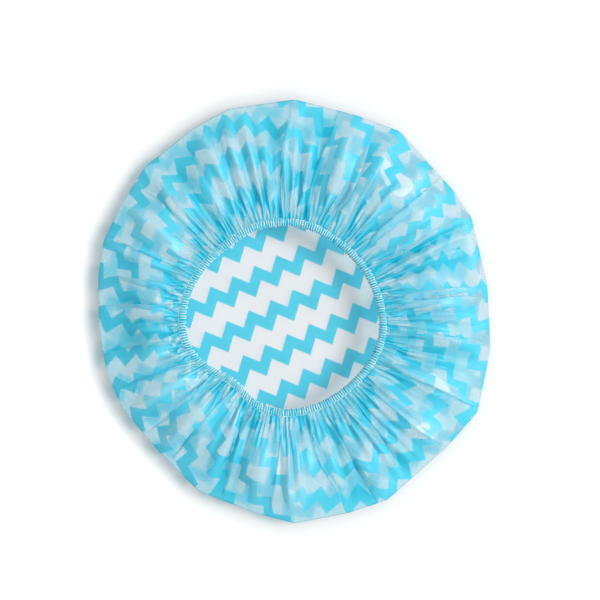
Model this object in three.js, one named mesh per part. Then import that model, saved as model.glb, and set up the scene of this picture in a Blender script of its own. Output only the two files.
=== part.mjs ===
// Shower cap of thin printed film, lying crown down with its gathered elastic hem facing up.
// Millimetres, +Z up. The origin lies under the middle of the outline, on the face that the crown rests on.
import * as THREE from "three";

// Rim: where the film turns over at the outside. It is creased at corners and runs straight between them.
// A corner is [bearing in degrees, how far it stands out from the rim's mean radius].
const RIM_RADIUS = 142;
const RIM_CORNERS = [
  [8, -6], [28, -2], [38, -2.5], [47, -2.5], [60, 4], [73, 2], [90, 6.5], [108, 7.5], [119, 5],
  [136, 4], [149, 1], [160, 1], [170, -2], [185, -4], [199, -3], [210, -3.5], [226, -5], [242, 1],
  [259, 2], [270, 6.5], [285, 4], [296, 5], [318, 0.5], [331, 4], [349, -2.5],
];
const RIM_HEIGHT = 10;
const RIM_TUCK = 10; // the crown lifts off the table this far inside the rim
const CROWN_MARGIN = 2; // the flat crown runs on this far under the frill's foot

// Film: the crown, the frill and the hem casing are one disc of it.
const FILM = 0.4;
const CLEARANCE = 0.3; // between pieces that lie against each other
const CREST_HEIGHT = 30; // top of the puffed frill, at the middle of its folds
const CREST_SETBACK = 38; // the frill is highest this far inside the rim
const FOLD_HEIGHT = 3; // how far a fold stands above and below the frill's own surface
const HEM_FOLD_HEIGHT = 0.9; // the same where the folds are sewn down
const COLUMNS_PER_FOLD = 4;

// Hem: a ring that is a little off centre. It is dented where the film pulls it in, and bulges where the film
// is slack, which is a dent of negative depth.
const HEM_X = -8;
const HEM_Y = -4;
const HEM_RADIUS = 66.5;
const HEM_HEIGHT = 25;
const HEM_STEPS = 90;
const HEM_DENTS = [
  { bearing: 51, depth: 1.9, spread: 21 },
  { bearing: 127, depth: 2.3, spread: 19 },
  { bearing: 187, depth: -4.3, spread: 25 },
  { bearing: 231, depth: 9.4, spread: 20 },
  { bearing: 347, depth: -3.4, spread: 23 },
];

// Elastic: one flat strip whose ends lap inside the casing.
const ELASTIC_WIDTH = 3.2;
const ELASTIC_THICKNESS = 0.7;
const ELASTIC_LAP = 14;
const LAP_BEARING = 40;

// Overlock stitching: one needle thread and two looper threads.
const THREAD = 0.4;
const STITCH_PITCH = 3.4;

const TURN = 2 * Math.PI;
const radians = THREE.MathUtils.degToRad;

// Casing half sizes: the elastic's lapped ends fit inside with clearance all round.
const lapRise = ELASTIC_THICKNESS + CLEARANCE;
const pocketHalfWidth = ELASTIC_WIDTH / 2 + CLEARANCE;
const pocketHalfHeight = (lapRise + ELASTIC_THICKNESS) / 2 + CLEARANCE;
const casingHalfWidth = pocketHalfWidth + FILM;
const casingHalfHeight = pocketHalfHeight + FILM;
// The needle thread runs just outside the casing, and the frill ends just outside that.
const needleOffset = pocketHalfWidth + CLEARANCE + THREAD / 2;
const frillEndOffset = needleOffset + THREAD / 2 + CLEARANCE;
const threadHeight = casingHalfHeight + CLEARANCE + THREAD / 2;

// Materials
const filmMaterial = new THREE.MeshStandardMaterial({ color: 0x8fd8ee, roughness: 0.35, metalness: 0 });
const elasticMaterial = new THREE.MeshStandardMaterial({ color: 0xf2f4f5, roughness: 0.8, metalness: 0 });
const threadMaterial = new THREE.MeshStandardMaterial({ color: 0xe9fbff, roughness: 0.55, metalness: 0 });

// Shapes that every piece is worked out from

// The hem's distance from its own centre at a bearing in radians.
function hemRadius(bearing) {
  let radius = HEM_RADIUS;
  for (const dent of HEM_DENTS) {
    const turned = bearing - radians(dent.bearing);
    const away = Math.atan2(Math.sin(turned), Math.cos(turned));
    radius -= dent.depth * Math.exp(-((away / radians(dent.spread)) ** 2));
  }
  return radius;
}

// A point beside the hem: outwards is measured from the middle of the casing, and so is up.
function hemPoint(bearing, outwards, up) {
  const reach = hemRadius(bearing) + outwards;
  return new THREE.Vector3(
    HEM_X + reach * Math.cos(bearing),
    HEM_Y + reach * Math.sin(bearing),
    HEM_HEIGHT + up,
  );
}

// Every column of the frill: its point on the rim, and its share of the way through a fold.
function rimColumns() {
  const corners = RIM_CORNERS.map(([bearing, outwards]) =>
    new THREE.Vector2(RIM_RADIUS + outwards, 0).rotateAround(new THREE.Vector2(), radians(bearing)));
  const columns = [];
  corners.forEach((corner, i) => {
    const next = corners[(i + 1) % corners.length];
    for (let k = 0; k < COLUMNS_PER_FOLD; k++) {
      const share = k / COLUMNS_PER_FOLD;
      columns.push({ rim: corner.clone().lerp(next, share), share });
    }
  });
  return columns;
}

// Joins closed loops of points, one after another, into a solid.
// A closed sweep has no ends, and an open one is capped. The second half of a sheet's loop runs back beside
// the first, and is split along the same diagonals, so that the sheet keeps its thickness.
function sweep(loops, closed, isSheet = false) {
  const size = loops[0].length;
  const positions = loops.flat().flatMap((p) => [p.x, p.y, p.z]);
  const index = [];
  const spans = closed ? loops.length : loops.length - 1;
  for (let i = 0; i < spans; i++) {
    const here = i * size;
    const there = ((i + 1) % loops.length) * size;
    for (let k = 0; k < size; k++) {
      const next = (k + 1) % size;
      const [a, b, c, d] = [here + k, there + k, there + next, here + next];
      const runsBack = isSheet && k >= size / 2;
      index.push(...(runsBack ? [a, b, d, b, c, d] : [a, b, c, a, c, d]));
    }
  }
  if (!closed) {
    const last = (loops.length - 1) * size;
    for (let k = 1; k < size - 1; k++) {
      index.push(0, k, k + 1, last, last + k + 1, last + k);
    }
  }
  const geometry = new THREE.BufferGeometry();
  geometry.setAttribute("position", new THREE.Float32BufferAttribute(positions, 3));
  geometry.setIndex(index);
  geometry.computeVertexNormals();
  return geometry;
}

// A thread of square section along a closed ring of points.
function threadRing(path) {
  const half = THREAD / 2;
  const up = new THREE.Vector3(0, 0, 1);
  const loops = path.map((point, i) => {
    const before = path[(i + path.length - 1) % path.length];
    const after = path[(i + 1) % path.length];
    const along = after.clone().sub(before).normalize();
    const side = along.clone().cross(up).normalize().multiplyScalar(half);
    const rise = side.clone().cross(along).normalize().multiplyScalar(half);
    return [
      point.clone().add(side),
      point.clone().add(rise),
      point.clone().sub(side),
      point.clone().sub(rise),
    ];
  });
  return sweep(loops, true);
}

// Pieces

// The flat middle of the film disc, which lies on the table.
function crownFilm() {
  const outline = rimColumns().map(({ rim }) =>
    rim.clone().setLength(rim.length() - RIM_TUCK + CROWN_MARGIN));
  return new THREE.ExtrudeGeometry(new THREE.Shape(outline), { depth: FILM, bevelEnabled: false });
}

// The frill's section at one column: from its foot on the crown, out to the crease at the rim, up on a slant
// that rounds over to the crest as a sine does, and down to the hem.
// Each station is [distance inside the rim, height, normal inwards, normal upwards, height of its folds].
function frillStations(reach) {
  const foot = FILM + CLEARANCE + FILM / 2;
  const rise = CREST_HEIGHT - RIM_HEIGHT;
  const end = HEM_HEIGHT + pocketHalfHeight + FILM / 2;
  const shoulder = Math.SQRT1_2;
  const fall = (CREST_HEIGHT + end) / 2;
  return [
    [RIM_TUCK, foot, 0, -1, 0],
    [0, RIM_HEIGHT, -1, 0, 0],
    [CREST_SETBACK / 2, RIM_HEIGHT + rise * shoulder, -rise, CREST_SETBACK, FOLD_HEIGHT / 2],
    [CREST_SETBACK, CREST_HEIGHT, 0, 1, FOLD_HEIGHT],
    [(CREST_SETBACK + reach) / 2, fall, CREST_HEIGHT - end, reach - CREST_SETBACK, FOLD_HEIGHT],
    [reach, end, 0, 1, HEM_FOLD_HEIGHT],
  ];
}

// The gathered wall of the cap, with one fold standing up at each corner of the rim.
function frillFilm() {
  const loops = rimColumns().map(({ rim, share }) => {
    const outer = new THREE.Vector3(rim.x, rim.y, 0);
    const bearing = Math.atan2(rim.y - HEM_Y, rim.x - HEM_X);
    const hemEnd = hemPoint(bearing, frillEndOffset, 0).setZ(0);
    const inwards = hemEnd.clone().sub(outer);
    const reach = inwards.length();
    inwards.normalize();
    const wave = Math.cos(TURN * share);
    const faces = [[], []];
    for (const [inside, height, normalIn, normalUp, fold] of frillStations(reach)) {
      const normal = new THREE.Vector2(normalIn, normalUp).setLength(FILM / 2);
      [1, -1].forEach((sign, face) => {
        const point = outer.clone().addScaledVector(inwards, inside + sign * normal.x);
        point.z = height + sign * normal.y + fold * wave;
        faces[face].push(point);
      });
    }
    return [...faces[0], ...faces[1].reverse()];
  });
  return sweep(loops, true, true);
}

// The film's edge, folded in over the elastic and open along its sewn side.
function hemCasing() {
  const section = [
    [pocketHalfWidth, casingHalfHeight],
    [-casingHalfWidth, casingHalfHeight],
    [-casingHalfWidth, -casingHalfHeight],
    [pocketHalfWidth, -casingHalfHeight],
    [pocketHalfWidth, -pocketHalfHeight],
    [-pocketHalfWidth, -pocketHalfHeight],
    [-pocketHalfWidth, pocketHalfHeight],
    [pocketHalfWidth, pocketHalfHeight],
  ];
  const loops = [];
  for (let i = 0; i < HEM_STEPS; i++) {
    const bearing = (TURN * i) / HEM_STEPS;
    loops.push(section.map(([outwards, up]) => hemPoint(bearing, outwards, up)));
  }
  return sweep(loops, true);
}

// The elastic strip climbs by its own thickness in one turn, so that its end laps over its start.
function elasticBand() {
  const lapAngle = ELASTIC_LAP / HEM_RADIUS;
  const sweepAngle = TURN + lapAngle;
  const climb = (lapRise * sweepAngle) / TURN;
  const halfWidth = ELASTIC_WIDTH / 2;
  const halfThickness = ELASTIC_THICKNESS / 2;
  const loops = [];
  for (let i = 0; i <= HEM_STEPS; i++) {
    const share = i / HEM_STEPS;
    const bearing = radians(LAP_BEARING) + sweepAngle * share;
    const level = climb * (share - 0.5);
    loops.push([
      hemPoint(bearing, halfWidth, level + halfThickness),
      hemPoint(bearing, -halfWidth, level + halfThickness),
      hemPoint(bearing, -halfWidth, level - halfThickness),
      hemPoint(bearing, halfWidth, level - halfThickness),
    ]);
  }
  return sweep(loops, false);
}

// A ring of stitches, whose thread goes by turns to two places in the hem's section, each [outwards, up].
function stitchRing(first, second) {
  const stitches = Math.round((TURN * HEM_RADIUS) / STITCH_PITCH);
  const path = [];
  for (let i = 0; i < stitches; i++) {
    path.push(hemPoint((TURN * i) / stitches, ...first));
    path.push(hemPoint((TURN * (i + 0.5)) / stitches, ...second));
  }
  return threadRing(path);
}

// Where the threads go, in the hem's section
const needleTop = [needleOffset, threadHeight];
const needleBottom = [needleOffset, -threadHeight];
const looperOuter = pocketHalfWidth - THREAD;
const looperInner = -casingHalfWidth + THREAD / 2;
const upperLooper = [[looperOuter, threadHeight], [looperInner, threadHeight]];
const lowerLooper = [[looperInner, -threadHeight], [looperOuter, -threadHeight]];

const cap = new THREE.Group();

function addPiece(name, geometry, material) {
  const mesh = new THREE.Mesh(geometry, material);
  mesh.name = name;
  cap.add(mesh);
}

addPiece("crown_film", crownFilm(), filmMaterial);
addPiece("frill_film", frillFilm(), filmMaterial);
addPiece("hem_casing", hemCasing(), filmMaterial);
addPiece("elastic_band", elasticBand(), elasticMaterial);
addPiece("needle_thread", stitchRing(needleTop, needleBottom), threadMaterial);
addPiece("upper_looper_thread", stitchRing(...upperLooper), threadMaterial);
addPiece("lower_looper_thread", stitchRing(...lowerLooper), threadMaterial);

export default cap;
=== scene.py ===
"""Shower cap: a disc of thin printed film, gathered on an elastic hem that is overlocked with thread."""

import math

import bpy
import numpy as np
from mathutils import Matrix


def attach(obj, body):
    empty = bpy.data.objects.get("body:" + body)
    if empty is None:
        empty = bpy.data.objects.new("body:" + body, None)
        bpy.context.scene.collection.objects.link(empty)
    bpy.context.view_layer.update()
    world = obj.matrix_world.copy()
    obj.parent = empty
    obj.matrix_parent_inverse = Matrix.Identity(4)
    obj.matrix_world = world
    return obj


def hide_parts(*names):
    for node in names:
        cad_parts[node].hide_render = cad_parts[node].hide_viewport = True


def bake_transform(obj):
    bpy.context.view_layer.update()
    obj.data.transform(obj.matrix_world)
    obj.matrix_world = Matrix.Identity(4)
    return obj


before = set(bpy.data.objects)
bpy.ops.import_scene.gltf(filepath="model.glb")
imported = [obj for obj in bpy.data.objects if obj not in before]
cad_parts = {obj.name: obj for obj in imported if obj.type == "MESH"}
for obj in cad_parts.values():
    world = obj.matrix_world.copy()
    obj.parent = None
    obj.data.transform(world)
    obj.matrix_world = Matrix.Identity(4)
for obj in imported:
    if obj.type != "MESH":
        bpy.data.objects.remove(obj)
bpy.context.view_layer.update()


# Film
# One disc of thin frosted plastic, printed with an aqua zigzag. Its middle lies on the table as the crown,
# it turns over at the rim, and the rest is drawn in to the hem, which leaves it in folds.
TURN = 2 * math.pi
MM = 0.001
RIM_RADIUS = 0.142
RIM_CORNERS = (
    (8, -6), (28, -2), (38, -2.5), (47, -2.5), (60, 4), (73, 2), (90, 6.5), (108, 7.5), (119, 5),
    (136, 4), (149, 1), (160, 1), (170, -2), (185, -4), (199, -3), (210, -3.5), (226, -5), (242, 1),
    (259, 2), (270, 6.5), (285, 4), (296, 5), (318, 0.5), (331, 4), (349, -2.5),
)  # bearing in degrees, and millimetres that the corner stands out from the rim's mean radius
CORNER_ROUNDING = math.radians(0.6)
RIM_HEIGHT = 0.010
RIM_TUCK = 0.010
RIM_CURL = 1.5  # power of the curve by which the film leaves the table for the rim
CREST_HEIGHT = 0.029
CREST_SETBACK = 0.038
TURN_UP, TURN_OVER = 0.16, 0.62  # shares of the frill's length at which it passes the rim and the crest
FILM_THICKNESS = 0.0002
FILM_REST = 0.0002
CUT_RADIUS = 0.230  # of the flat disc, at the sewn line
CUT_CENTRE = np.array((0.006, 0.005))
FRILL_LENGTH = 0.098
HEM_CENTRE = np.array((-0.008, -0.004))
HEM_RADIUS = 0.0665
HEM_HEIGHT = 0.025
HEM_DENTS = (
    (51, 0.0019, 21), (127, 0.0023, 19), (187, -0.0043, 25), (231, 0.0094, 20), (347, -0.0034, 23),
)  # bearing, depth and spread in degrees: where the depth is negative, the hem bulges
SEWN_OFFSET = 0.0024  # the needle's line runs this far outside the middle of the hem
SEWN_RISE = 0.0013

GATHERS, PLEATS = 168, 84  # folds round the hem, and the fewer that they run into
COLUMNS = 10 * GATHERS
TABLE_STEPS = 7200
SIDE_POINTS = 60  # along each straight side of the rim
SMOOTHED_SPREADS = 4  # how many spreads to either side a smoothed value draws on
angles = np.arange(COLUMNS) * TURN / COLUMNS
table_angles = np.arange(TABLE_STEPS) * TURN / TABLE_STEPS
corner_angles = np.radians([bearing for bearing, _ in RIM_CORNERS])
fold_chance = np.random.default_rng(11)


def wander(least, most, strength):
    """A smooth curve round the disc, of random waves between least and most to a turn."""
    total = np.zeros(COLUMNS)
    for count in range(least, most + 1):
        phase = fold_chance.uniform(0, TURN)
        total += fold_chance.normal(0, 1) * np.sin(count * angles + phase)
    return strength * total / math.sqrt((most - least + 1) / 2)


def rounded(values, spread):
    """Values at even steps round a turn, smoothed over the spread in radians."""
    step = TURN / len(values)
    reach = int(SMOOTHED_SPREADS * spread / step) + 1
    weights = np.exp(-0.5 * (np.arange(-reach, reach + 1) * step / spread) ** 2)
    padded = np.concatenate([values[-reach:], values, values[:reach]])
    return np.convolve(padded, weights / weights.sum(), mode="valid")


def smooth_step(value):
    """Rises smoothly from 0 to 1 as the value does."""
    value = np.clip(value, 0, 1)
    return value * value * (3 - 2 * value)


def rim_table():
    """The rim's distance from the origin at every table angle: straight between hardly rounded corners."""
    reaches = RIM_RADIUS + MM * np.array([out for _, out in RIM_CORNERS])
    corners = np.stack([reaches * np.cos(corner_angles), reaches * np.sin(corner_angles)], axis=-1)
    corners = np.vstack([corners, corners[:1]])
    steps = np.linspace(0, len(RIM_CORNERS), SIDE_POINTS * len(RIM_CORNERS) + 1)
    x, y = (np.interp(steps, np.arange(len(corners)), corners[:, axis]) for axis in (0, 1))
    reach = np.interp(table_angles, np.unwrap(np.arctan2(y, x)), np.hypot(x, y), period=TURN)
    return rounded(reach, CORNER_ROUNDING)


rim_reaches = rim_table()


def rim_reach(bearing):
    """The rim's distance from the origin at a bearing."""
    return np.interp(bearing % TURN, table_angles, rim_reaches, period=TURN)


def hem_point(bearing, outwards):
    """Points beside the hem, in plan: outwards is measured from the middle of its band."""
    reach = np.full_like(bearing, HEM_RADIUS) + outwards
    for dent_bearing, depth, spread in HEM_DENTS:
        away = np.angle(np.exp(1j * (bearing - math.radians(dent_bearing))))
        reach -= depth * np.exp(-((away / math.radians(spread)) ** 2))
    return HEM_CENTRE + np.stack([reach * np.cos(bearing), reach * np.sin(bearing)], axis=-1)


def hem_bearing(bearing):
    """The hem's own bearing, about its centre, of the film that leaves the rim at a bearing."""
    reach = rim_reach(bearing)
    return np.arctan2(reach * np.sin(bearing) - HEM_CENTRE[1], reach * np.cos(bearing) - HEM_CENTRE[0])


def frill_section(share, reach):
    """Distance inside the rim, and height, at a share of the way from the crown's edge to the sewn line."""
    rise = CREST_HEIGHT - RIM_HEIGHT
    fall = CREST_HEIGHT - HEM_HEIGHT - SEWN_RISE
    if share < TURN_UP:
        out = share / TURN_UP
        return np.full_like(reach, RIM_TUCK * (1 - out)), FILM_REST + RIM_HEIGHT * out ** RIM_CURL
    if share < TURN_OVER:
        over = (share - TURN_UP) / (TURN_OVER - TURN_UP)
        inside = np.full_like(reach, CREST_SETBACK * over)
        return inside, FILM_REST + RIM_HEIGHT + rise * math.sin(over * math.pi / 2)
    left = (share - TURN_OVER) / (1 - TURN_OVER)
    inside = CREST_SETBACK + (reach - CREST_SETBACK) * left
    return inside, FILM_REST + CREST_HEIGHT - fall * (1 - math.cos(math.pi * left)) / 2


def frill_base(bearing, share):
    """The frill before it is folded: points at the bearings, all at one share of the section."""
    reach = rim_reach(bearing)
    outer = np.stack([reach * np.cos(bearing), reach * np.sin(bearing)], axis=-1)
    inwards = hem_point(hem_bearing(bearing), SEWN_OFFSET) - outer
    length = np.linalg.norm(inwards, axis=1)
    inside, height = frill_section(share, length)
    plan = outer + inwards * (inside / length)[:, None]
    return np.column_stack([plan, np.full(len(plan), height)])


def flat_place(share):
    """Where the columns' points at a share lie on the flat disc."""
    foot = frill_base(angles, 0)[:, :2] - CUT_CENTRE
    distance = np.linalg.norm(foot, axis=1)
    return CUT_CENTRE + foot * (1 + (CUT_RADIUS - distance) * share / distance)[:, None]


def ring_steps(points):
    """Distances from each point of a ring to the next."""
    return np.linalg.norm(np.roll(points, -1, axis=0) - points, axis=1)


GATHER_LENGTH, PLEAT_LENGTH = 0.016, 0.052  # how far from the hem they run
gather_phase = GATHERS * angles + wander(8, 60, 0.9)
pleat_phase = PLEATS * angles + wander(5, 36, 1.2)
corner_phase = TURN * np.interp(
    (angles - corner_angles[0]) % TURN + corner_angles[0],
    np.append(corner_angles, corner_angles[0] + TURN),
    np.arange(len(RIM_CORNERS) + 1),
)
gather_depth = 1 + wander(5, 40, 0.35)
pleat_depth = 1 + wander(4, 25, 0.4)
facet_depth = 1 + wander(2, 12, 0.35)
gather_length = GATHER_LENGTH * np.exp(wander(4, 30, 0.3))
pleat_length = PLEAT_LENGTH * np.exp(wander(4, 22, 0.42))
slant = wander(3, 14, 0.9)
pleat_lean = np.tanh(wander(2, 9, 1.8))

LAPS = 26  # knife folds, where the film doubles back and lies on itself
LAP_TURN = 0.0024  # film that goes into each turn of one
LAP_SHARE = 0.55  # of the spare film, which they take up
LAP_STRAY = 0.3  # how far one lies out of its even place, as a share of the way to the next
LAP_SLANT = 0.8  # radians to a metre
LAP_AT_HEM, LAP_FADE = 0.3, 0.025  # share of its width that one has at the hem, and where it has all
lap_chance = np.random.default_rng(31)
lap_bearings = TURN * (np.arange(LAPS) + lap_chance.uniform(-LAP_STRAY, LAP_STRAY, LAPS)) / LAPS
lap_slants = lap_chance.uniform(-LAP_SLANT, LAP_SLANT, LAPS)
lap_sides = lap_chance.choice((-1, 1), LAPS)
lap_sizes = lap_chance.uniform(0.3, 1.7, LAPS)


def lap_turn(share, spare):
    """How far the film turns back at each column, where laps take up their share of its spare length."""
    from_hem = (1 - share) * FRILL_LENGTH
    kept = LAP_AT_HEM + (1 - LAP_AT_HEM) * smooth_step(from_hem / LAP_FADE)
    back = LAP_SHARE * max(spare, 0) / (2 * LAPS) * kept
    reach = np.linalg.norm(flat_place(share) - CUT_CENTRE, axis=1)
    turned = np.zeros(COLUMNS)
    for bearing, slanted, side, size in zip(lap_bearings, lap_slants, lap_sides, lap_sizes):
        away = np.angle(np.exp(1j * (angles - bearing - slanted * from_hem))) * reach
        started = smooth_step((away + size * back / 2) / LAP_TURN + 0.5)
        ended = smooth_step((away - size * back / 2) / LAP_TURN + 0.5)
        turned += side * math.pi * (started - ended)
    return turned


def pleat(phase, flatness):
    """A wave whose sides are flatter and its turns sharper than a sine's."""
    return np.tanh(flatness * np.sin(phase)) / math.tanh(flatness)


GATHER_FLATNESS, PLEAT_FLATNESS, FACET_FLATNESS = 0.8, 1.8, 1.4
FACETS, HALF_FACETS = 0.7, 0.6  # weights of the wave between the rim's corners, and of one half as long
LEAN, GATHERED_LEAN = 0.6, 0.25  # weights of the pleats' lean to one side, away from the hem and at it
SLANT_LENGTH = 0.05


def fold_wave(share):
    """How steeply the film turns aside at each column, before the wave is scaled to the spare length."""
    from_hem = (1 - share) * FRILL_LENGTH
    gathers = np.exp(-((from_hem / gather_length) ** 2))
    facets = 1 - np.exp(-((from_hem / pleat_length) ** 2))
    drift = slant * from_hem / SLANT_LENGTH
    half_facets = HALF_FACETS * pleat(2 * corner_phase + drift, FACET_FLATNESS)
    facet_wave = pleat(corner_phase, FACET_FLATNESS) + half_facets
    return (
        gathers * gather_depth * pleat(gather_phase, GATHER_FLATNESS)
        + (1 - gathers) * (1 - facets) * pleat_depth * pleat(pleat_phase + drift, PLEAT_FLATNESS)
        - FACETS * facets * facet_depth * facet_wave
        + (LEAN - (LEAN - GATHERED_LEAN) * gathers) * pleat_lean
    )


STEEPEST = 1.3  # how far a pleat's sides turn from the frill's surface, in radians
TAUT = 0.9995  # the film is never pulled quite straight
MOST_TURNING, HALVINGS = 2.6, 40


def turning(wave, lapped, steps, wanted):
    """How much the wave is scaled so that steps along the lapped film cover the wanted length."""
    low, high = 0.0, MOST_TURNING
    for _ in range(HALVINGS):
        middle = (low + high) / 2
        if np.sum(np.cos(lapped + middle * wave) * steps) > wanted:
            low = middle
        else:
            high = middle
    return low


def turned_film(share, steps, base_length):
    """The angle by which each step of the film turns aside, so that it takes up the ring's spare length."""
    wave = fold_wave(share)
    lapped = lap_turn(share, np.sum(steps) - base_length)
    pleated = wave * turning(wave, lapped, steps, min(base_length, TAUT * np.sum(steps)))
    return lapped + STEEPEST * np.tanh(pleated / STEEPEST)


def walked(steps, spread):
    """Distance gone at each column, without its slow drift."""
    gone = np.concatenate([[0], np.cumsum(steps)[:-1]])
    gone -= np.sum(steps) * np.arange(COLUMNS) / COLUMNS
    return gone - rounded(gone, spread)


PROBE = 1e-3  # step by which the frill's directions are found


def stood_off(bearing, share, rise):
    """Points that stand off the unfolded frill by their rise, and stay inside the rim."""
    here = frill_base(bearing, share)
    ahead = frill_base(bearing + PROBE, share) - here
    inwards = frill_base(bearing, min(share + PROBE, 1)) - frill_base(bearing, max(share - PROBE, 0))
    upwards = np.cross(ahead, inwards)
    upwards /= np.linalg.norm(upwards, axis=1)[:, None]
    points = here + upwards * rise[:, None]
    edge = rim_reach(np.arctan2(points[:, 1], points[:, 0]))
    points[:, :2] *= np.minimum(1, edge / np.hypot(points[:, 0], points[:, 1]))[:, None]
    return points


FOLD_SPREADS = (
    (0, 0.045), (0.012, 0.085), (0.04, 0.1), (0.06, 0.16), (FRILL_LENGTH, 0.25),
)  # distance from the hem, and the angle over which the folds' height and depth are judged
FULL_RISE, FREE_RIM = 0.25, 0.4  # shares past the rim by which the folds rise, and are free of its outline
# The film by the sewn line takes a deeper colour, for its packed layers and as painted shade
SEWN_FLAT, SEWN_BAND = 0.008, 0.005  # how far from the hem the folds are pressed, and look hollow
RIDGES_OUT = 1.5
LEAST_DEPTH = 0.0003
NO_FOLD, HOLLOW_STEP, SEWN_HOLLOW = 0.5, 0.3, 0.35  # on a scale from 0, a ridge, to 1, the bottom of a fold


def folded_ring(share):
    """One ring of the frill: its spare length is taken up by folds. Also says how hollow each point is."""
    from_hem = (1 - share) * FRILL_LENGTH
    past_rim = share - TURN_UP
    steps = ring_steps(flat_place(share))
    base_steps = ring_steps(frill_base(angles, share))
    base_length = np.sum(base_steps)
    turned = turned_film(share, steps, base_length)
    steps = steps * base_length / np.sum(np.cos(turned) * steps)
    spread = np.interp(from_hem, *zip(*FOLD_SPREADS))
    rise = walked(np.sin(turned) * steps, spread)
    rise *= smooth_step(past_rim / FULL_RISE) * (0.5 + 0.5 * smooth_step(from_hem / SEWN_FLAT))
    depth = np.sqrt(rounded(rise ** 2, spread))
    # How hollow each point is sets the painted shade in the folds and the painted highlight on their ridges
    hollow = np.clip(NO_FOLD - HOLLOW_STEP * rise / (depth + LEAST_DEPTH), 0, 1)
    # By the sewn line the colour deepens: packed layers and painted shade
    hollow += SEWN_HOLLOW * (1 - smooth_step(from_hem / SEWN_BAND))
    # At the rim only the ridges of the folds reach the outline
    rise -= RIDGES_OUT * depth * (1 - smooth_step(past_rim / FREE_RIM))
    base_gone = np.concatenate([[0], np.cumsum(base_steps)])
    gone = (base_gone[:-1] + walked(np.cos(turned) * steps, spread)) % base_length
    bearing = np.interp(gone, base_gone, np.append(angles, TURN))
    return stood_off(bearing, share, rise), hollow


CROWN_LIFT = 0.0011
CROWN_WAVES, SHORTEST_WAVE, LONGEST_WAVE = 14, 0.045, 0.12
CALM = 4  # tames the sum of the waves: the larger it is, the flatter the crown


def crown_lift(places):
    """The crown's slight unevenness: it lies flat only here and there."""
    crown_chance = np.random.default_rng(5)
    lift = np.zeros(len(places))
    for _ in range(CROWN_WAVES):
        heading = crown_chance.uniform(0, TURN)
        length = crown_chance.uniform(SHORTEST_WAVE, LONGEST_WAVE)
        phase = crown_chance.uniform(0, TURN)
        lift += np.sin(TURN * (places @ (math.cos(heading), math.sin(heading))) / length + phase)
    return CROWN_LIFT * np.tanh(lift / CALM) + CROWN_LIFT


CROWN_RINGS, CROWN_STEP = 14, 8  # the crown has a column for every eight of the frill's
CROWN_EDGE = 0.25  # share of the crown over which its lift dies out
FRILL_SHARES = (
    0, 0.06, 0.11, 0.145, TURN_UP, 0.175, 0.21, 0.26, 0.32, 0.39, 0.46, 0.53, 0.60, 0.67, 0.73, 0.785,
    0.83, 0.86, 0.88, 0.90, 0.92, 0.94, 0.96, 0.975, 0.99, 1,
)  # closer together where the film creases at the rim and gathers at the hem


def film_rings():
    """Each ring's points, their places on the flat disc, and how hollow they are, from the middle out."""
    yield np.array([[*CUT_CENTRE, FILM_REST]]), CUT_CENTRE[None], np.array([NO_FOLD])
    foot = frill_base(angles, 0)[:, :2] - CUT_CENTRE
    for grow in np.arange(1, CROWN_RINGS) / CROWN_RINGS:
        plan = (CUT_CENTRE + foot * grow)[::CROWN_STEP]
        lift = crown_lift(plan) * smooth_step((1 - grow) / CROWN_EDGE)
        yield np.column_stack([plan, FILM_REST + lift]), plan, np.full(len(plan), NO_FOLD)
    for share in FRILL_SHARES:
        ring, hollow = folded_ring(share)
        yield ring, flat_place(share), hollow


def bridge(inner, outer):
    """Faces between two rings of points, of which the outer may have more, or the inner only one."""
    if len(inner) == 1:
        return [(inner[0], p, q) for p, q in zip(outer, outer[1:] + outer[:1])]
    ratio = len(outer) // len(inner)
    half = ratio // 2
    faces = []
    for i, a in enumerate(inner):
        b = inner[(i + 1) % len(inner)]
        fan = [outer[(i * ratio + k) % len(outer)] for k in range(ratio + 1)]
        if ratio == 1:
            faces.append((a, fan[0], fan[1], b))
            continue
        faces += [(a, p, q) for p, q in zip(fan[:half], fan[1:half + 1])]
        faces.append((a, fan[half], b))
        faces += [(b, p, q) for p, q in zip(fan[half:], fan[half + 1:])]
    return faces


CUT_WIDTH = 0.5  # of the square that the map of the flat disc covers


def lay_flat(piece, places):
    """Gives a piece of film a map of where each of its points lies on the flat disc."""
    corners = np.zeros(len(piece.data.loops), np.int32)
    piece.data.loops.foreach_get("vertex_index", corners)
    layer = piece.data.uv_layers.new(name="OFBake")
    layer.data.foreach_set("uv", (places[corners] / CUT_WIDTH + 0.5).astype(np.float32).ravel())


def choose(piece):
    """Selects one piece, and nothing else."""
    bpy.ops.object.select_all(action="DESELECT")
    bpy.context.view_layer.objects.active = piece
    piece.select_set(True)


def thicken(piece):
    """Gives a piece of film its thickness."""
    choose(piece)
    bpy.ops.object.shade_smooth()
    wall = piece.modifiers.new("wall", "SOLIDIFY")
    wall.thickness = FILM_THICKNESS
    wall.offset = 0
    bpy.ops.object.modifier_apply(modifier=wall.name)


def film_piece(name, rings):
    """A piece of film over rings of points, with its map, its hollows and its thickness."""
    points, places, hollows, faces, last = [], [], [], [], []
    total = 0
    for ring, flat, hollow in rings:
        here = list(range(total, total + len(ring)))
        if last:
            faces += bridge(last, here)
        points.append(ring)
        places.append(flat)
        hollows.append(hollow)
        total += len(ring)
        last = here
    mesh = bpy.data.meshes.new(name)
    mesh.from_pydata(np.vstack(points).tolist(), [], faces)
    mesh.attributes.new("hollow", "FLOAT", "POINT").data.foreach_set("value", np.concatenate(hollows))
    piece = bpy.data.objects.new(name, mesh)
    bpy.context.scene.collection.objects.link(piece)
    lay_flat(piece, np.vstack(places))
    thicken(piece)
    return piece


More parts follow.
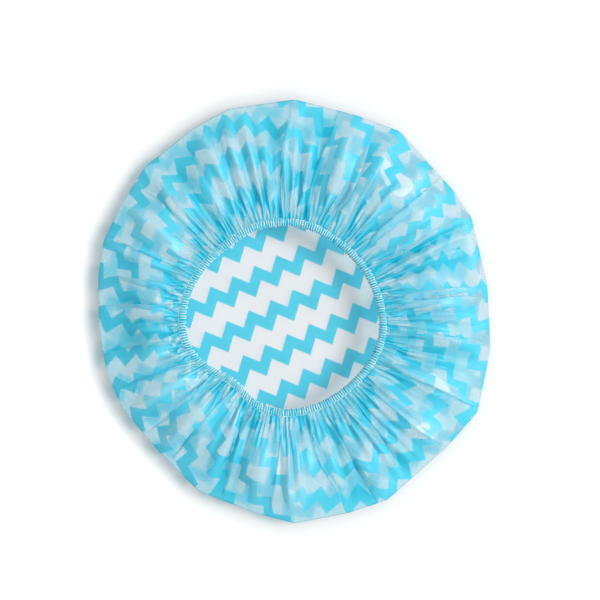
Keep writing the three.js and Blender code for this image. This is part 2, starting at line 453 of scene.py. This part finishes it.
class Bench:
    """Adds nodes to a tree. What goes into a node is a number, a colour or another node's result."""

    def __init__(self, tree):
        self.tree = tree

    def feed(self, node, values):
        """Fills a node's sockets by name, or in turn."""
        pairs = values.items() if isinstance(values, dict) else enumerate(values)
        for socket, value in pairs:
            if isinstance(value, bpy.types.NodeSocket):
                self.tree.links.new(value, node.inputs[socket])
            else:
                node.inputs[socket].default_value = value

    def put(self, kind, values=(), **settings):
        node = self.tree.nodes.new("ShaderNode" + kind)
        for setting, choice in settings.items():
            setattr(node, setting, choice)
        self.feed(node, values)
        return node

    def work(self, operation, *values):
        return self.put("Math", values, operation=operation).outputs[0]

    def ramp(self, value, start, end, low=0.0, high=1.0, **settings):
        """The value drawn out from start and end to low and high, and held between them."""
        values = {"Value": value, "From Min": start, "From Max": end, "To Min": low, "To Max": high}
        return self.put("MapRange", values, **settings).outputs["Result"]

    def mix_colour(self, share, first, second, blend_type="MIX"):
        values = {"Factor": share, "A": first, "B": second}
        return self.put("Mix", values, data_type="RGBA", blend_type=blend_type).outputs["Result"]

    def noise(self, place, scale, detail, twist=0.0):
        values = {"Vector": place, "Scale": scale, "Detail": detail, "Distortion": twist}
        return self.put("TexNoise", values).outputs["Fac"]

    def parts(self, vector):
        return self.put("SeparateXYZ", (vector,)).outputs


PRINT_ANGLE = math.radians(25.5)
TOOTH = 0.01711
TOOTH_HEIGHT = 0.00945
STRIPE = 0.02669
INK_SHARE = 0.41
TOOTH_START, STRIPE_START = 0.699, 0.834
PRINT_EDGE, HAZED_EDGE = 0.008, 0.1  # half the width of the print's edge, in stripes, and through film


def zigzag(bench, place, hazed):
    """Where the ink is: stripes one way, pushed up and down by teeth the other way."""
    work = bench.work
    turned = bench.put("VectorRotate", {"Vector": place, "Angle": -PRINT_ANGLE}, rotation_type="Z_AXIS")
    x, y, _ = bench.parts(turned.outputs["Vector"])
    along = work("FRACT", work("ADD", work("DIVIDE", x, TOOTH), TOOTH_START))
    tooth = work("SUBTRACT", work("ABSOLUTE", work("SUBTRACT", work("MULTIPLY", along, 2), 1)), 0.5)
    shifted = work("SUBTRACT", y, work("MULTIPLY", tooth, TOOTH_HEIGHT))
    stripe = work("FRACT", work("ADD", work("DIVIDE", shifted, STRIPE), STRIPE_START))
    off_middle = work("ABSOLUTE", work("SUBTRACT", stripe, 0.5))
    half_edge = work("ADD", work("MULTIPLY", hazed, HAZED_EDGE - PRINT_EDGE), PRINT_EDGE)
    edge = 0.5 - INK_SHARE / 2
    start, end = work("SUBTRACT", edge, half_edge), work("ADD", edge, half_edge)
    return bench.ramp(off_middle, start, end, interpolation_type="SMOOTHSTEP")


def streaks(bench, bearing, distance, count, length, detail, twist):
    """Noise that is drawn out towards the hem, with a count of streaks to a turn."""
    across = bench.work("MULTIPLY", bearing, count / TURN)
    along = bench.work("DIVIDE", distance, length)
    place = bench.put("CombineXYZ", (across, along)).outputs["Vector"]
    return bench.noise(place, 1, detail, twist)


BARE_COVER, INK_COVER = 0.48, 0.92
FOLD_COVER = 0.45  # how much more the film covers at the bottom of a fold, where it lies in layers
GATHERED_COVER = 0.8
# Cover of the film in its painted white glints
GLINT_COVER = 0.5
GRAZING_COVER, GRAZING_POWER = 0.35, 3  # and where one looks along its face
LIGHT_PASSES = 0.8  # share of its cover that doesn't hold for shadows and bounced light


def film_cover(bench, printed, path, layers):
    """How much the film hides of what is under it: the layers each add their share."""
    work = bench.work
    bare_side, ink_side = (1 - math.sqrt(1 - cover) for cover in (BARE_COVER, INK_COVER))
    bare = work("SUBTRACT", 1, bench.ramp(printed, 0, 1, bare_side, ink_side))
    facing = bench.put("LayerWeight", {"Blend": 0.5}).outputs["Facing"]
    grazing = work("POWER", facing, GRAZING_POWER)
    for layer, share in ((grazing, GRAZING_COVER), *layers):
        bare = work("MULTIPLY", bare, work("SUBTRACT", 1, work("MULTIPLY", layer, share)))
    by_light = work("MAXIMUM", path["Is Shadow Ray"], path["Is Diffuse Ray"])
    hidden = work("SUBTRACT", 1, work("MULTIPLY", by_light, LIGHT_PASSES))
    return work("MULTIPLY", work("SUBTRACT", 1, bare), hidden)


INK = (0.075, 0.64, 0.81, 1)
THIN_INK = (0.15, 0.70, 0.84, 1)
# Painted light: the drawn-in film's ink, brighter as if lit through the layers under it
BACKLIT_INK = (0.13, 0.775, 0.94, 1)
# Painted shade of the folds, in ink, partly for the film's layers there
LAYERED_SHADE_INK = (0.0, 0.56, 0.73, 1)
FLAT_FILM = (0.79, 0.75, 0.77, 1)
# Painted light: the drawn-in bare film, aqua as if lit through the printed layers under it
BACKLIT_FILM = (0.54, 0.86, 0.95, 1)
# Painted white glint
GLINT_WHITE = (0.86, 0.94, 0.96, 1)
# Painted shade of the gathers by the hem, on bare film
HEM_SHADE_FILM = (0.36, 0.82, 0.93, 1)
# Painted shade of the folds, on bare film, partly for the film's layers there
LAYERED_SHADE_FILM = (0.12, 0.64, 0.78, 1)
# Painted highlight on the folds' ridges
RIDGE_HIGHLIGHT = (0.78, 0.94, 0.98, 1)
LIGHT_THROUGH_INK = (0.74, 0.93, 0.965, 1)
LIGHT_THROUGH_FILM = (0.975, 0.985, 0.988, 1)
LAYERS_TINT = (0.7, 0.97, 1.0, 1)
FILM_ROUGHNESS, FILM_IOR = 0.34, 1.48
CLOUDINESS = 0.34  # share of the light that the frosted film scatters through itself
ONE_FILM = 1.5  # faces passed: with more than these, a whole film lies in front
INK_CLOUDS, INK_DETAIL = 130, 5  # to a metre
# Painted white glints on the drawn-in bare film
GLINT_PATCHES = 30  # white ones, to a metre
GLINT_FROM, GLINT_FULLY = 0.66, 0.70  # of the noise that places them
DRAWN_FROM, DRAWN_FULLY = 0.12, 0.16  # distances from the disc's middle where the film is drawn in
# How far the bare film by the hem takes that painted shade
HEM_SHADE_SHARE = 0.6
PUCKERS, PUCKER_LENGTH, PUCKER_DETAIL, PUCKER_TWIST = 380, 0.035, 2, 0.6
# The middle ones of these two rows set how much painted shade the puckers and creases add to the film's
# colour
PUCKER_FADE, PUCKER_SHADE, PUCKER_RELIEF = 3.0, 2.2, 1.2
CREASES, CREASE_LENGTH, CREASE_DETAIL, CREASE_TWIST = 200, 0.03, 1, 0.5
CREASE_FADE, CREASE_SHADE, CREASE_RELIEF = 1.6, 1.1, 0.3
CREASE_WIDTH = 0.035  # of the noise that places the creases
# Past the first of these hollows the colour takes the folds' painted shade
DEEP_FROM, GATHERED_FULLY = 0.58, 1.4  # hollows at which the colour deepens, and the film hides all
# Painted highlight on the folds' ridges: the hollow at which it starts, and its strongest share
RIDGE_HIGHLIGHT_FROM, RIDGE_HIGHLIGHT_SHARE = 0.3, 0.4
STEEP_FROM, STEEP_FULLY = 0.85, 0.35  # how far up the film's face looks
CRINKLES, CRINKLE_DETAIL, CRINKLE_TWIST = 210, 3, 0.8
CRINKLE_STRENGTH, CRINKLE_HEIGHT = 0.35, 0.0004


def film_material():
    """Frosted film with its print, painted shade and highlights in its folds, painted light, and fine
    puckers, creases and crinkles.
    """
    material = bpy.data.materials.new("printed_film")
    material.use_nodes = True
    material.node_tree.nodes.clear()
    bench = Bench(material.node_tree)
    work, ramp, mix_colour = bench.work, bench.ramp, bench.mix_colour
    corner = (-CUT_WIDTH / 2, -CUT_WIDTH / 2, 0)
    uv = bench.put("UVMap", uv_map="OFBake").outputs["UV"]
    on_disc = {"Vector": uv, "Location": corner, "Scale": (CUT_WIDTH, CUT_WIDTH, 1)}
    place = bench.put("Mapping", on_disc).outputs["Vector"]
    middle = (*CUT_CENTRE, 0)
    from_middle = bench.put("VectorMath", (place, middle), operation="DISTANCE").outputs["Value"]
    outwards = bench.put("VectorMath", (place, middle), operation="SUBTRACT").outputs["Vector"]
    x, y, _ = bench.parts(outwards)
    bearing = work("ARCTAN2", y, x)

    # Seen through another layer of the frosted film, the print is hazy
    path = bench.put("LightPath").outputs
    hazed = work("GREATER_THAN", path["Transparent Depth"], ONE_FILM)
    printed = zigzag(bench, place, hazed)

    # Fine puckers run out from the sewn line, and among them fewer, sharper creases
    along_frill = ramp(from_middle, CUT_RADIUS - FRILL_LENGTH, CUT_RADIUS)
    beside_hem = ramp(from_middle, CUT_RADIUS - PUCKER_LENGTH, CUT_RADIUS)
    pucker = streaks(bench, bearing, from_middle, PUCKERS, PUCKER_LENGTH, PUCKER_DETAIL, PUCKER_TWIST)
    pucker = work("MULTIPLY", work("SUBTRACT", pucker, 0.5), work("POWER", along_frill, PUCKER_FADE))
    crease = streaks(bench, bearing, from_middle, CREASES, CREASE_LENGTH, CREASE_DETAIL, CREASE_TWIST)
    off_crease = work("ABSOLUTE", work("SUBTRACT", crease, 0.5))
    creased = work("MULTIPLY", ramp(off_crease, CREASE_WIDTH, 0), work("POWER", beside_hem, CREASE_FADE))

    # Painted shade: the film is deeper in colour at the bottom of a fold, and on the steep sides of the
    # gathers at the hem
    # The deeper colour stands partly for the layers the film lies in there, and partly for shade
    hollow = bench.put("Attribute", attribute_name="hollow").outputs["Fac"]
    # Puckers and creases add painted shade to the hollow, the creases as thin dark lines
    hollow = work("SUBTRACT", hollow, work("MULTIPLY", pucker, PUCKER_SHADE))
    hollow = work("ADD", hollow, work("MULTIPLY", creased, CREASE_SHADE))
    deep = ramp(hollow, DEEP_FROM, 1)
    gathered = ramp(hollow, 1, GATHERED_FULLY)
    # The ridges of the folds get a painted highlight
    ridge_highlight = ramp(hollow, RIDGE_HIGHLIGHT_FROM, 0, high=RIDGE_HIGHLIGHT_SHARE)
    _, _, upright = bench.parts(bench.put("NewGeometry").outputs["Normal"])
    steep = ramp(work("ABSOLUTE", upright), STEEP_FROM, STEEP_FULLY)
    near_hem = work("MINIMUM", work("MULTIPLY", beside_hem, 2), 1)
    layered_shade = work("MAXIMUM", deep, work("MULTIPLY", steep, near_hem))

    def folded(level_colour, shade_colour):
        return mix_colour(ridge_highlight, mix_colour(layered_shade, level_colour, shade_colour), RIDGE_HIGHLIGHT)

    # Painted light where the film is drawn in: its ink is brighter and its bare film aqua, as if lit
    # through
    # the printed layers under it
    drawn = ramp(from_middle, DRAWN_FROM, DRAWN_FULLY)
    # Here and there the bare film has a painted white glint, in random patches
    glint = work("MULTIPLY", ramp(bench.noise(place, GLINT_PATCHES, 0), GLINT_FROM, GLINT_FULLY), drawn)
    ink = mix_colour(bench.noise(place, INK_CLOUDS, INK_DETAIL), INK, THIN_INK)
    ink = mix_colour(drawn, ink, BACKLIT_INK)
    bare_film = mix_colour(drawn, FLAT_FILM, BACKLIT_FILM)
    bare_film = mix_colour(glint, bare_film, GLINT_WHITE)
    # Bare film by the hem takes a deeper aqua, as painted shade of its gathers
    bare_film = mix_colour(work("MULTIPLY", near_hem, HEM_SHADE_SHARE), bare_film, HEM_SHADE_FILM)
    colour = mix_colour(printed, folded(bare_film, LAYERED_SHADE_FILM), folded(ink, LAYERED_SHADE_INK))
    tint = mix_colour(printed, LIGHT_THROUGH_FILM, LIGHT_THROUGH_INK)
    # Painted light: light that comes through the drawn-in film is tinted, as if it had passed other layers
    # of it
    lit_through_layers = mix_colour(drawn, colour, LAYERS_TINT, "MULTIPLY")

    crinkle = bench.noise(place, CRINKLES, CRINKLE_DETAIL, CRINKLE_TWIST)
    puckered = work("MULTIPLY", pucker, PUCKER_RELIEF)
    relief = work("SUBTRACT", puckered, work("MULTIPLY", creased, CREASE_RELIEF))
    height = work("ADD", crinkle, relief)
    bump = {"Strength": CRINKLE_STRENGTH, "Distance": CRINKLE_HEIGHT, "Height": height}
    normal = bench.put("Bump", bump).outputs["Normal"]

    layers = ((deep, FOLD_COVER), (glint, GLINT_COVER), (gathered, GATHERED_COVER))
    covered = film_cover(bench, printed, path, layers)
    face = {"Base Color": colour, "Roughness": FILM_ROUGHNESS, "IOR": FILM_IOR, "Normal": normal}
    face = bench.put("BsdfPrincipled", face).outputs["BSDF"]
    through = bench.put("BsdfTranslucent", {"Color": lit_through_layers}).outputs["BSDF"]
    cloudy = bench.put("MixShader", (CLOUDINESS, face, through)).outputs["Shader"]
    clear = bench.put("BsdfTransparent", {"Color": tint}).outputs["BSDF"]
    film = bench.put("MixShader", (covered, clear, cloudy)).outputs["Shader"]
    bench.put("OutputMaterial", {"Surface": film})
    return material


cap_film = film_piece("cap_film", film_rings())
printed_film = film_material()
cap_film.data.materials.append(printed_film)
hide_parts("crown_film", "frill_film")
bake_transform(cap_film)


# Elastic
# A flat white strip of braided elastic, cut a little longer than the hem. Its ends lap, and it lies loose
# in the casing, which it draws in.
ELASTIC_WIDTH = 0.0032
ELASTIC_THICKNESS = 0.0007
ELASTIC_LAP = 0.014
ELASTIC_POINTS = 361
LAP_BEARING = math.radians(40)
LAP_CLEARANCE = 0.0003


def ring_curve(name, line, radius):
    """A round thread or cord along a line of points."""
    curve = bpy.data.curves.new(name, "CURVE")
    curve.dimensions = "3D"
    curve.twist_mode = "Z_UP"
    curve.bevel_depth = radius
    spline = curve.splines.new("NURBS")
    spline.points.add(len(line) - 1)
    spline.points.foreach_set("co", np.column_stack([line, np.ones(len(line))]).ravel())
    spline.order_u = 3
    spline.resolution_u = 2
    spline.use_endpoint_u = True
    piece = bpy.data.objects.new(name, curve)
    bpy.context.scene.collection.objects.link(piece)
    return piece


def make_mesh(piece):
    """Turns a finished curve into a smooth mesh."""
    choose(piece)
    bpy.ops.object.convert(target="MESH")
    bpy.ops.object.shade_smooth()


elastic_turn = TURN + ELASTIC_LAP / HEM_RADIUS
elastic_shares = np.linspace(0, 1, ELASTIC_POINTS)
elastic_bearings = LAP_BEARING + elastic_turn * elastic_shares
lap_rise = ELASTIC_THICKNESS + LAP_CLEARANCE
elastic_levels = HEM_HEIGHT + lap_rise * elastic_turn / TURN * (elastic_shares - 0.5)
elastic_line = np.column_stack([hem_point(elastic_bearings, 0), elastic_levels])
elastic = ring_curve("elastic", elastic_line, ELASTIC_THICKNESS / 2)
elastic.data.extrude = (ELASTIC_WIDTH - ELASTIC_THICKNESS) / 2
elastic.data.bevel_resolution = 2
elastic.data.use_fill_caps = True
for point in elastic.data.splines[0].points:
    point.tilt = math.pi / 2
make_mesh(elastic)

BRAID_WHITE = (0.88, 0.90, 0.91, 1)
# Painted shade in the braid's grooves
BRAID_GROOVE_SHADE = (0.66, 0.72, 0.74, 1)
BRAID_ROUGHNESS, BRAID_RELIEF = 0.8, 0.0002
STRANDS_ALONG, STRANDS_ACROSS = 720, 7000  # radians of the braid's wave, to a radian and to a metre


def elastic_material():
    """White braid, whose strands cross one another aslant, with painted shade in the grooves between them.
    """
    material = bpy.data.materials.new("braided_elastic")
    material.use_nodes = True
    bench = Bench(material.node_tree)
    work = bench.work
    x, y, _ = bench.parts(bench.put("TexCoord").outputs["Object"])
    x = work("SUBTRACT", x, HEM_CENTRE[0])
    y = work("SUBTRACT", y, HEM_CENTRE[1])
    reach = work("SQRT", work("ADD", work("MULTIPLY", x, x), work("MULTIPLY", y, y)))
    along = work("MULTIPLY", work("ARCTAN2", y, x), STRANDS_ALONG)
    across = work("MULTIPLY", reach, STRANDS_ACROSS)
    one_way = work("SINE", work("ADD", along, across))
    other_way = work("SINE", work("SUBTRACT", along, across))
    height = work("ADD", work("MULTIPLY", work("MULTIPLY", one_way, other_way), 0.5), 0.5)
    # Painted shade in the grooves between the strands
    colour = bench.mix_colour(height, BRAID_GROOVE_SHADE, BRAID_WHITE)
    normal = bench.put("Bump", {"Distance": BRAID_RELIEF, "Height": height}).outputs["Normal"]
    cloth = {"Base Color": colour, "Roughness": BRAID_ROUGHNESS, "Normal": normal}
    bench.feed(material.node_tree.nodes["Principled BSDF"], cloth)
    return material


elastic.data.materials.append(elastic_material())
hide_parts("elastic_band")
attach(elastic, "hem")


# Hem casing
# The outer edge of the same film disc, folded in over the elastic and sewn down. It is puckered as the film
# beside it is, and open only along its sewn side.
CASING_SECTION = (
    (2.2, 1.35), (1.7, 1.55), (0.9, 1.68), (0.0, 1.72), (-0.9, 1.68), (-1.6, 1.5), (-2.1, 1.1),
    (-2.35, 0.5), (-2.4, -0.2), (-2.2, -0.9), (-1.7, -1.4), (-0.9, -1.62), (0.0, -1.66), (1.0, -1.6),
    (1.7, -1.4), (2.2, -1.1),
)  # millimetres outwards and up, from the middle of the hem
CASING_PUCKER = 0.00032
CASING_STEP = 2  # a column of the casing for every two of the film's
# The casing takes the folds' deepest colour throughout, for its gathered layers and as painted shade
GATHERED_HOLLOW = 1.35  # deeper than a fold: the film is gathered so closely that it hides what is under
PUCKER_HOLLOW = 0.2


def casing_rings():
    """The casing's rings, from the sewn line over the elastic and back under it."""
    section = np.array(CASING_SECTION) * MM
    gone = np.concatenate([[0], np.cumsum(np.linalg.norm(np.diff(section, axis=0), axis=1))])
    slopes = np.gradient(section, axis=0)
    normals = np.stack([slopes[:, 1], -slopes[:, 0]], axis=1) / np.linalg.norm(slopes, axis=1)[:, None]
    bearing = hem_bearing(angles[::CASING_STEP])
    flat = flat_place(1)[::CASING_STEP] - CUT_CENTRE
    wave = (gather_depth * np.sin(gather_phase))[::CASING_STEP]
    for (outwards, up), (normal_out, normal_up), length in zip(section, normals, gone):
        pucker = CASING_PUCKER * math.sin(math.pi * length / gone[-1]) * wave
        plan = hem_point(bearing, outwards + normal_out * pucker)
        yield (
            np.column_stack([plan, HEM_HEIGHT + up + normal_up * pucker]),
            CUT_CENTRE + flat * (1 + length / CUT_RADIUS),
            GATHERED_HOLLOW - PUCKER_HOLLOW * wave,
        )


hem_casing_film = film_piece("hem_casing_film", casing_rings())
hem_casing_film.data.materials.append(printed_film)
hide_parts("hem_casing")
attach(hem_casing_film, "hem")


# Overlock stitching
# Three spun threads sew the casing down: a needle thread that dashes along the outer side, and two loopers
# that lace over and under the hem and catch each other at its inner edge.
THREAD_RADIUS = 0.00027
STITCH_PITCH = 0.0034
STITCHES = round(TURN * HEM_RADIUS / STITCH_PITCH)
# One stitch of each thread: share of the stitch, millimetres outwards, millimetres up
NEEDLE_STITCH = (
    (0.03, 2.36, 0.8), (0.12, 2.40, 1.15), (0.35, 2.42, 1.3), (0.65, 2.42, 1.3), (0.88, 2.40, 1.15),
    (0.95, 2.36, 0.8), (0.97, 2.34, 0.0), (0.98, 2.30, -1.6), (1.0, 2.2, -1.95), (1.02, 2.30, -1.6),
    (1.03, 2.34, 0.0),
)
UPPER_STITCH = (
    (0.0, 2.3, 1.05), (0.18, 2.3, 1.35), (0.23, 1.6, 1.95), (0.25, 0.0, 2.12), (0.27, -1.4, 2.0),
    (0.29, -2.35, 1.35), (0.31, -2.72, 0.2), (0.5, -2.68, -0.75), (0.69, -2.72, 0.2), (0.71, -2.35, 1.35),
    (0.73, -1.4, 2.0), (0.75, 0.0, 2.12), (0.77, 1.6, 1.95), (0.82, 2.3, 1.35),
)
LOWER_STITCH = (
    (0.0, 2.1, -1.75), (0.2, 1.9, -1.9), (0.3, 0.8, -2.02), (0.36, -0.8, -2.02), (0.42, -2.0, -1.75),
    (0.47, -2.55, -1.1), (0.5, -2.8, -0.45), (0.53, -2.55, -1.1), (0.58, -2.0, -1.75), (0.64, -0.8, -2.02),
    (0.7, 0.8, -2.02), (0.8, 1.9, -1.9),
)
SUNK_SHARE = 0.17  # of its height, that a tight stitch is pulled into the film
TIGHT_RUN = 1.5  # stitches over which the tightness changes
TIGHT_CONTRAST = 0.9
POINT_STRAY = (0.02, 0.06, 0.03)  # of each point, in the stitches' own terms
STITCH_STRAY = 0.03
stitch_chance = np.random.default_rng(23)


def stitch_line(stitch):
    """A thread's way round the hem, with no two stitches quite alike: some are pulled into the film."""
    stitch = np.array(stitch)
    tightness = rounded(stitch_chance.normal(0, 1, STITCHES), TURN / STITCHES * TIGHT_RUN)
    tightness = 1 - SUNK_SHARE * smooth_step(0.5 + TIGHT_CONTRAST * tightness)
    line = []
    for i in range(STITCHES):
        pull = stitch_chance.normal(0, POINT_STRAY, (len(stitch), 3))
        share, outwards, up = (stitch + pull + (stitch_chance.normal(0, STITCH_STRAY), 0, 0)).T
        plan = hem_point(TURN * (i + share) / STITCHES, outwards * MM)
        line.append(np.column_stack([plan, HEM_HEIGHT + up * MM * tightness[i]]))
    return np.vstack(line)


THREAD_WHITE = (0.84, 0.98, 1.0, 1)
# Painted reflection of the film's aqua in the thread
THREAD_AQUA_REFLECTION = (0.38, 0.86, 0.97, 1)
THREAD_ROUGHNESS, THREAD_SHEEN = 0.62, 0.25
FIBRES, FIBRE_DETAIL = 4200, 4  # to a metre
FIBRE_STRENGTH, FIBRE_HEIGHT = 0.6, 0.0001
# Random patches of that painted reflection
REFLECTION_PATCHES, REFLECTION_DETAIL = 280, 1  # to a metre
AQUA_BELOW, WHITE_ABOVE = 0.42, 0.56  # of the noise that places them


def thread_material():
    """Bright spun thread, with random patches of painted aqua: the film's colour reflected in it."""
    material = bpy.data.materials.new("spun_thread")
    material.use_nodes = True
    bench = Bench(material.node_tree)
    place = bench.put("TexCoord").outputs["Object"]
    whiteness = bench.ramp(bench.noise(place, REFLECTION_PATCHES, REFLECTION_DETAIL), AQUA_BELOW, WHITE_ABOVE)
    fibre = bench.noise(place, FIBRES, FIBRE_DETAIL)
    bump = {"Strength": FIBRE_STRENGTH, "Distance": FIBRE_HEIGHT, "Height": fibre}
    spun = {
        "Base Color": bench.mix_colour(whiteness, THREAD_AQUA_REFLECTION, THREAD_WHITE),
        "Roughness": THREAD_ROUGHNESS,
        "Sheen Weight": THREAD_SHEEN,
        "Normal": bench.put("Bump", bump).outputs["Normal"],
    }
    bench.feed(material.node_tree.nodes["Principled BSDF"], spun)
    return material


spun_thread = thread_material()
for name, stitch, node in (
    ("needle_thread_spun", NEEDLE_STITCH, "needle_thread"),
    ("upper_looper_spun", UPPER_STITCH, "upper_looper_thread"),
    ("lower_looper_spun", LOWER_STITCH, "lower_looper_thread"),
):
    thread = ring_curve(name, stitch_line(stitch), THREAD_RADIUS)
    thread.data.splines[0].use_cyclic_u = True
    thread.data.bevel_resolution = 1
    make_mesh(thread)
    thread.data.materials.append(spun_thread)
    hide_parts(node)
    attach(thread, "hem")


# Floor
# A plain white table, which takes the cap's soft shadow. The shadow close to the cap is drawn in by the
# table's own material, on the side away from the lamp, and only where the table is seen bare.
FLOOR_WIDTH, FLOOR_LEVEL = 6, -0.0002
TABLE_WHITE = (0.9, 0.9, 0.9, 1)
TABLE_GLOW = 0.09
NEAR_SHADOW, NEAR_REACH, NEAR_SAMPLES = 0.72, 0.016, 12
LIT_FROM = (0.64, 0.0, 0.77)


def table_material():
    """White, a little darker beside the cap, and lifted a little so that the picture's ground is white."""
    material = bpy.data.materials.new("white_table")
    material.use_nodes = True
    material.node_tree.nodes.clear()
    bench = Bench(material.node_tree)
    work = bench.work
    path = bench.put("LightPath").outputs
    towards_lamp = bench.put("CombineXYZ", LIT_FROM).outputs["Vector"]
    near = {"Distance": NEAR_REACH, "Normal": towards_lamp}
    near = bench.put("AmbientOcclusion", near, samples=NEAR_SAMPLES).outputs["Color"]
    bare = work("LESS_THAN", path["Transparent Depth"], 0.5)
    shown = work("MULTIPLY", work("MULTIPLY", bare, path["Is Camera Ray"]), NEAR_SHADOW)
    colour = bench.mix_colour(shown, TABLE_WHITE, near, "MULTIPLY")
    matte = bench.put("BsdfDiffuse", {"Color": colour}).outputs["BSDF"]
    seen = work("MAXIMUM", path["Is Camera Ray"], path["Is Glossy Ray"])
    seen = work("MAXIMUM", seen, path["Is Transmission Ray"])
    glow = bench.put("Emission", {"Strength": work("MULTIPLY", seen, TABLE_GLOW)}).outputs["Emission"]
    both = bench.put("AddShader", (matte, glow)).outputs["Shader"]
    bench.put("OutputMaterial", {"Surface": both})
    return material


bpy.ops.mesh.primitive_plane_add(size=FLOOR_WIDTH, location=(0, 0, FLOOR_LEVEL))
floor = bpy.context.object
floor.name = "floor"
floor.data.materials.append(table_material())


# Light
# A broad soft lamp on the right of the picture, and a white surround that is brighter on that side. Seen
# straight, or through the film, the surround is plain white.
SURROUND_LEVEL = 0.43
SURROUND_LEAN = 0.45  # how much brighter or darker it is at its sides
LEAN_BEARING = math.radians(15)
LAMP_PLACE = (0.73, 0.1, 0.88)
LAMP_WIDTH = math.radians(26)
LAMP_LEVEL = 2.5

world = bpy.data.worlds.new("surround")
bpy.context.scene.world = world
world.use_nodes = True
bench = Bench(world.node_tree)
path = bench.put("LightPath").outputs
heading = bench.put("TexCoord").outputs["Generated"]
bright_side = (math.cos(LEAN_BEARING), math.sin(LEAN_BEARING), 0)
across = bench.put("VectorMath", (heading, bright_side), operation="DOT_PRODUCT").outputs["Value"]
lean = bench.ramp(across, -1, 1, 1 - SURROUND_LEAN, 1 + SURROUND_LEAN)
level = bench.work("MULTIPLY", bench.ramp(path["Is Glossy Ray"], 0, 1, SURROUND_LEVEL, 1), lean)
straight = bench.work("MAXIMUM", path["Is Camera Ray"], path["Is Transmission Ray"])
white_ground = {"Color": (1, 1, 1, 1), "Strength": bench.ramp(straight, 0, 1, level, 1)}
bench.feed(world.node_tree.nodes["Background"], white_ground)

bpy.ops.object.light_add(type="SUN", location=LAMP_PLACE)
lamp = bpy.context.object
lamp.data.angle = LAMP_WIDTH
lamp.data.energy = LAMP_LEVEL
lamp.rotation_euler = (-lamp.location).to_track_quat("-Z", "Y").to_euler()


# Camera
# Straight above the cap, as in the photograph, whose top is +Y.
CAMERA_PLACE = (0.0035, 0.00805, 1.6)
VIEW_WIDTH = 0.42
VIEW_LEVEL = 0.012  # height at which the picture is that wide
FILM_LAYERS_SEEN = 32
bpy.ops.object.camera_add(location=CAMERA_PLACE, rotation=(0, 0, 0))
camera = bpy.context.object
camera.data.lens = camera.data.sensor_width * (CAMERA_PLACE[2] - VIEW_LEVEL) / VIEW_WIDTH
bpy.context.scene.camera = camera
bpy.context.scene.view_settings.view_transform = "Standard"
bpy.context.scene.cycles.transparent_max_bounces = FILM_LAYERS_SEEN
